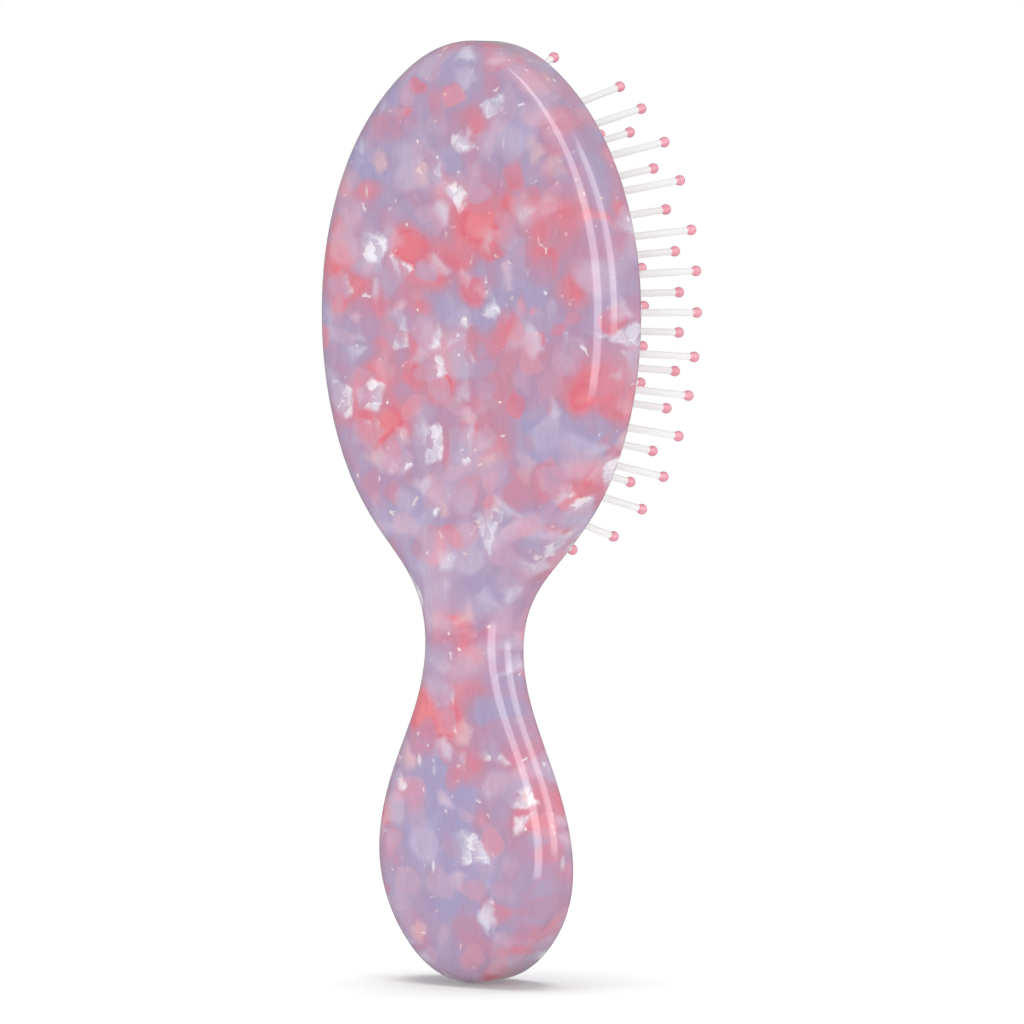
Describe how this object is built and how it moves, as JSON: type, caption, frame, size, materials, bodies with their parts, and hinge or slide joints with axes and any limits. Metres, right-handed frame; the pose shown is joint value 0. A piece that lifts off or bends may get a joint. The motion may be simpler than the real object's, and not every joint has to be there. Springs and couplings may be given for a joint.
{
  "type": "cushion hairbrush",
  "caption": "Palm-size oval vanity hairbrush: pearly marbled acetate-look shells with a bulb-ended handle, and a domed rubber cushion of flexible ball-tipped pins.",
  "frame": {"origin": "middle of the bottom of the brush's bounding box: level with the handle's end, on the middle plane, halfway from the flat back to the pin tips", "axes": "+Z along the brush from the handle's end to the top of the head; +X across it; the flat back faces -Y and the pins point to +Y"},
  "size_m": [0.0574, 0.0374, 0.152],
  "materials": {
    "shell": "pearly marbled acetate look in lavender, mauve, coral and silver chips under a clear gloss coat",
    "frame_plastic": "moulded matt, hidden inside",
    "cushion_rubber": "soft satin rubber",
    "pin_nylon": "milky translucent nylon",
    "ball_tip": "smooth pink bead"
  },
  "bodies": {
    "root": {"back_shell": "shell", "front_shell": "shell", "retaining_frame": "frame_plastic"},
    "cushion": {"cushion_pad": "cushion_rubber"},
    "pins_centre": {"pins_centre_shafts": "pin_nylon", "pins_centre_tips": "ball_tip"},
    "pins_right_1": {"pins_right_1_shafts": "pin_nylon", "pins_right_1_tips": "ball_tip"},
    "pins_left_1": {"pins_left_1_shafts": "pin_nylon", "pins_left_1_tips": "ball_tip"},
    "pins_right_2": {"pins_right_2_shafts": "pin_nylon", "pins_right_2_tips": "ball_tip"},
    "pins_left_2": {"pins_left_2_shafts": "pin_nylon", "pins_left_2_tips": "ball_tip"},
    "pins_right_3": {"pins_right_3_shafts": "pin_nylon", "pins_right_3_tips": "ball_tip"},
    "pins_left_3": {"pins_left_3_shafts": "pin_nylon", "pins_left_3_tips": "ball_tip"},
    "pins_right_4": {"pins_right_4_shafts": "pin_nylon", "pins_right_4_tips": "ball_tip"},
    "pins_left_4": {"pins_left_4_shafts": "pin_nylon", "pins_left_4_tips": "ball_tip"},
    "pins_right_5": {"pins_right_5_shafts": "pin_nylon", "pins_right_5_tips": "ball_tip"},
    "pins_left_5": {"pins_left_5_shafts": "pin_nylon", "pins_left_5_tips": "ball_tip"}
  },
  "joints": [
    {"name": "cushion_press", "type": "slide", "parent": "root", "child": "cushion", "axis": [0, -1, 0], "range_m": [0, 0.0025], "stiffness_N_per_m": 800, "deforming": ["cushion_pad"]},
    {"name": "rock_centre", "type": "hinge", "parent": "cushion", "child": "pins_centre", "pos_m": [0, -0.001, 0.109], "axis": [0, 0, 1], "range_deg": [-10, 10], "stiffness_Nm_per_rad": 0.003},
    {"name": "rock_right_1", "type": "hinge", "parent": "cushion", "child": "pins_right_1", "pos_m": [0.00505, -0.0011, 0.109], "axis": [0, 0, 1], "range_deg": [-10, 10], "stiffness_Nm_per_rad": 0.003},
    {"name": "rock_left_1", "type": "hinge", "parent": "cushion", "child": "pins_left_1", "pos_m": [-0.00505, -0.0011, 0.109], "axis": [0, 0, 1], "range_deg": [-10, 10], "stiffness_Nm_per_rad": 0.003},
    {"name": "rock_right_2", "type": "hinge", "parent": "cushion", "child": "pins_right_2", "pos_m": [0.01017, -0.00165, 0.109], "axis": [0, 0, 1], "range_deg": [-10, 10], "stiffness_Nm_per_rad": 0.003},
    {"name": "rock_left_2", "type": "hinge", "parent": "cushion", "child": "pins_left_2", "pos_m": [-0.01017, -0.00165, 0.109], "axis": [0, 0, 1], "range_deg": [-10, 10], "stiffness_Nm_per_rad": 0.003},
    {"name": "rock_right_3", "type": "hinge", "parent": "cushion", "child": "pins_right_3", "pos_m": [0.01405, -0.0027, 0.109], "axis": [0, 0, 1], "range_deg": [-10, 10], "stiffness_Nm_per_rad": 0.003},
    {"name": "rock_left_3", "type": "hinge", "parent": "cushion", "child": "pins_left_3", "pos_m": [-0.01405, -0.0027, 0.109], "axis": [0, 0, 1], "range_deg": [-10, 10], "stiffness_Nm_per_rad": 0.003},
    {"name": "rock_right_4", "type": "hinge", "parent": "cushion", "child": "pins_right_4", "pos_m": [0.0168, -0.00259, 0.109], "axis": [0, 0, 1], "range_deg": [-10, 10], "stiffness_Nm_per_rad": 0.003},
    {"name": "rock_left_4", "type": "hinge", "parent": "cushion", "child": "pins_left_4", "pos_m": [-0.0168, -0.00259, 0.109], "axis": [0, 0, 1], "range_deg": [-10, 10], "stiffness_Nm_per_rad": 0.003},
    {"name": "rock_right_5", "type": "hinge", "parent": "cushion", "child": "pins_right_5", "pos_m": [0.01993, -0.00325, 0.109], "axis": [0, 0, 1], "range_deg": [-10, 10], "stiffness_Nm_per_rad": 0.003},
    {"name": "rock_left_5", "type": "hinge", "parent": "cushion", "child": "pins_left_5", "pos_m": [-0.01993, -0.00325, 0.109], "axis": [0, 0, 1], "range_deg": [-10, 10], "stiffness_Nm_per_rad": 0.003}
  ]
}
